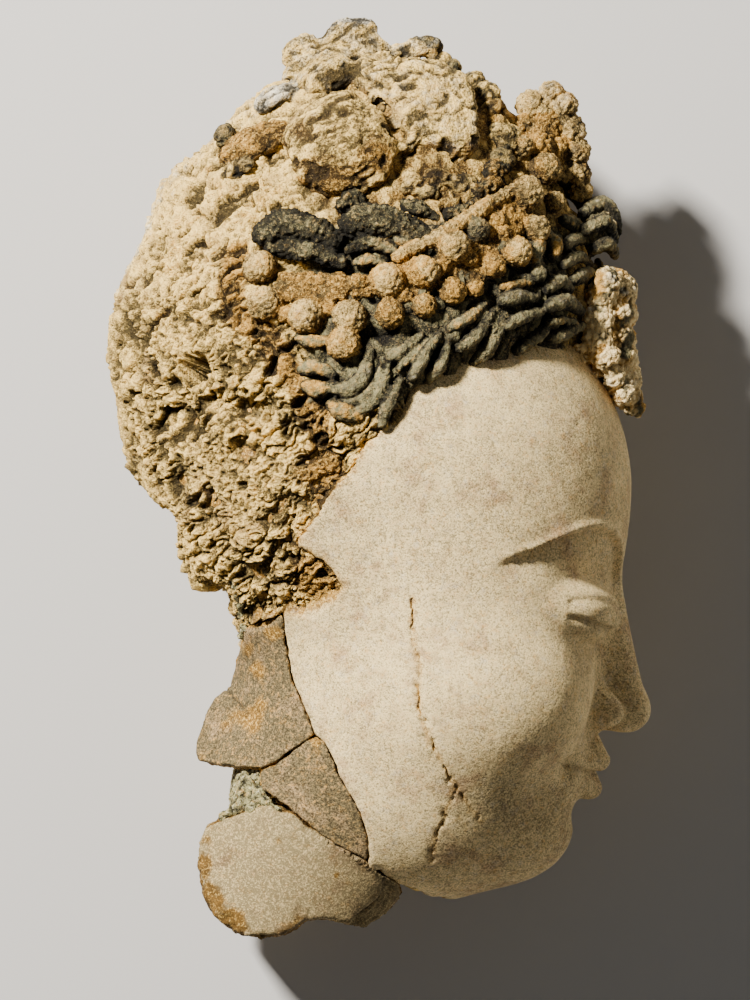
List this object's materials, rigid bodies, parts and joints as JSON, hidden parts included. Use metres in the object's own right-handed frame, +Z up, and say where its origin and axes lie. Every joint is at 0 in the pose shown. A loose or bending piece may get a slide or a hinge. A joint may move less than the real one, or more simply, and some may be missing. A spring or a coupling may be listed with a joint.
{
  "type": "bodhisattva head sculpture",
  "caption": "Life-size clay bodhisattva head lying on its left side, with a calm face, curled locks, a beaded diadem and a topknot, and a mended jaw and neck.",
  "frame": {"origin": "on the flat worn into the left side, under the middle of the hair mass", "axes": "+X the way the face looks, +Y towards the crown, +Z up, out of the head's right side"},
  "size_m": [0.2096, 0.36, 0.1509],
  "materials": {
    "fine_clay": "matt unfired clay with worn pale ground and traces of pigment",
    "mortar": "coarse gritty mortar"
  },
  "bodies": {
    "root": {"head": "fine_clay", "jaw_fragment_upper": "fine_clay", "jaw_fragment_lower": "fine_clay", "neck_fragment": "fine_clay", "mortar_fill": "mortar"}
  },
  "joints": []
}
